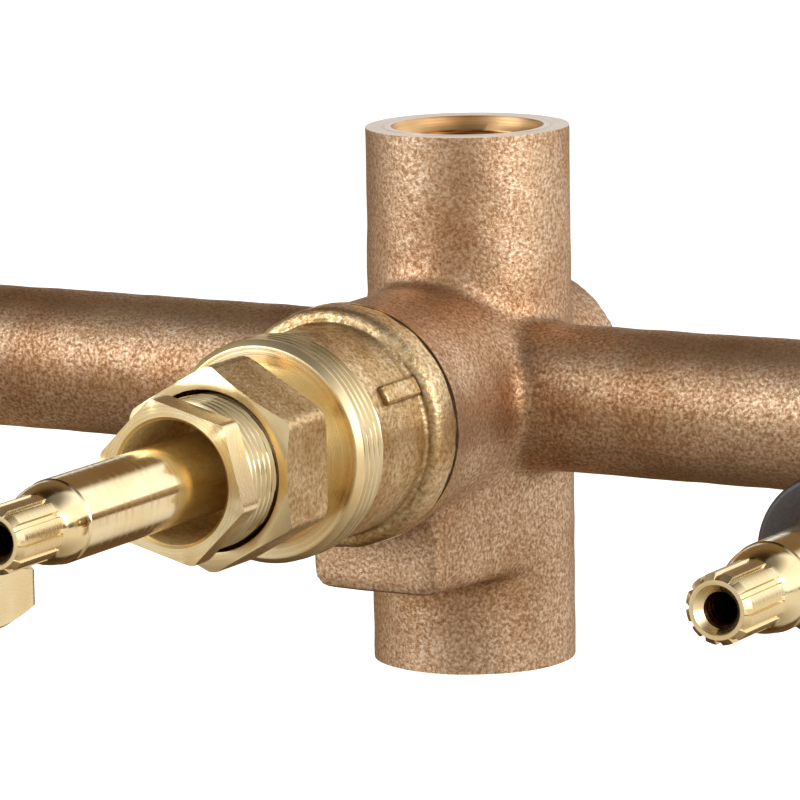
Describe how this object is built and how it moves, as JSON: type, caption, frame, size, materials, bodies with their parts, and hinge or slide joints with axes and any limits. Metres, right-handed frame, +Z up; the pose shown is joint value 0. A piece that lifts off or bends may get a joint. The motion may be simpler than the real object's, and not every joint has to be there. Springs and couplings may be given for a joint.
{
  "type": "bathtub shower valve",
  "caption": "Rough-in bath and shower valve: a bronze casting joins hot, diverter and cold compression units with splined stems, pipe ports and union inlets.",
  "frame": {"origin": "centre of the middle back boss, on the plane that the valve is strapped against", "axes": "+X along the bars from the hot to the cold unit, -Y out of the wall along the stems, +Z up to the shower port"},
  "size_m": [0.2402, 0.1524, 0.1033],
  "materials": {
    "cast_bronze": "sand-blasted casting",
    "cast_brass": "rough sand-cast brass with machined rings",
    "turned_brass": "turned and polished",
    "black_nylon": "satin moulded",
    "black_rubber": "moulded",
    "fibre": "pressed fibre sheet",
    "graphite_packing": "greasy graphite cord"
  },
  "bodies": {
    "body": {"valve_body": "cast_bronze", "hot_bonnet": "cast_brass", "hot_bonnet_gasket": "fibre", "hot_packing_ring": "graphite_packing", "hot_packing_washer": "turned_brass", "hot_gland_nut": "turned_brass", "hot_seat": "turned_brass", "hot_stem_guard": "black_nylon", "hot_union_nut": "turned_brass", "hot_union_washer": "fibre", "hot_tailpiece": "turned_brass", "diverter_bonnet": "cast_brass", "diverter_bonnet_gasket": "fibre", "diverter_packing_ring": "graphite_packing", "diverter_packing_washer": "turned_brass", "diverter_gland_nut": "turned_brass", "diverter_seat": "turned_brass", "cold_bonnet": "cast_brass", "cold_bonnet_gasket": "fibre", "cold_packing_ring": "graphite_packing", "cold_packing_washer": "turned_brass", "cold_gland_nut": "turned_brass", "cold_seat": "turned_brass", "cold_stem_guard": "black_nylon", "cold_union_nut": "turned_brass", "cold_union_washer": "fibre", "cold_tailpiece": "turned_brass"},
    "hot_disc": {"hot_disc_holder": "turned_brass", "hot_seat_washer": "black_rubber", "hot_washer_screw": "turned_brass"},
    "hot_stem": {"hot_stem": "turned_brass"},
    "diverter_disc": {"diverter_disc_holder": "turned_brass", "diverter_seat_washer": "black_rubber", "diverter_washer_screw": "turned_brass"},
    "diverter_stem": {"diverter_stem": "turned_brass"},
    "cold_disc": {"cold_disc_holder": "turned_brass", "cold_seat_washer": "black_rubber", "cold_washer_screw": "turned_brass"},
    "cold_stem": {"cold_stem": "turned_brass"}
  },
  "joints": [
    {"name": "hot_lift", "type": "slide", "parent": "body", "child": "hot_disc", "axis": [0, -1, 0], "range_m": [0, 0.0063]},
    {"name": "hot_turn", "type": "hinge", "parent": "hot_disc", "child": "hot_stem", "pos_m": [-0.1016, -0.1, 0], "axis": [0, -1, 0], "range_deg": [0, 900]},
    {"name": "diverter_lift", "type": "slide", "parent": "body", "child": "diverter_disc", "axis": [0, -1, 0], "range_m": [0, 0.0063]},
    {"name": "diverter_turn", "type": "hinge", "parent": "diverter_disc", "child": "diverter_stem", "pos_m": [0, -0.1, 0], "axis": [0, -1, 0], "range_deg": [0, 900]},
    {"name": "cold_lift", "type": "slide", "parent": "body", "child": "cold_disc", "axis": [0, -1, 0], "range_m": [0, 0.0063]},
    {"name": "cold_turn", "type": "hinge", "parent": "cold_disc", "child": "cold_stem", "pos_m": [0.1016, -0.1, 0], "axis": [0, -1, 0], "range_deg": [0, 900]}
  ],
  "couplings": [
    {"joint": "hot_lift", "follows": "hot_turn", "m_per_rad": 0.00039789},
    {"joint": "diverter_lift", "follows": "diverter_turn", "m_per_rad": 0.00039789},
    {"joint": "cold_lift", "follows": "cold_turn", "m_per_rad": 0.00039789}
  ]
}
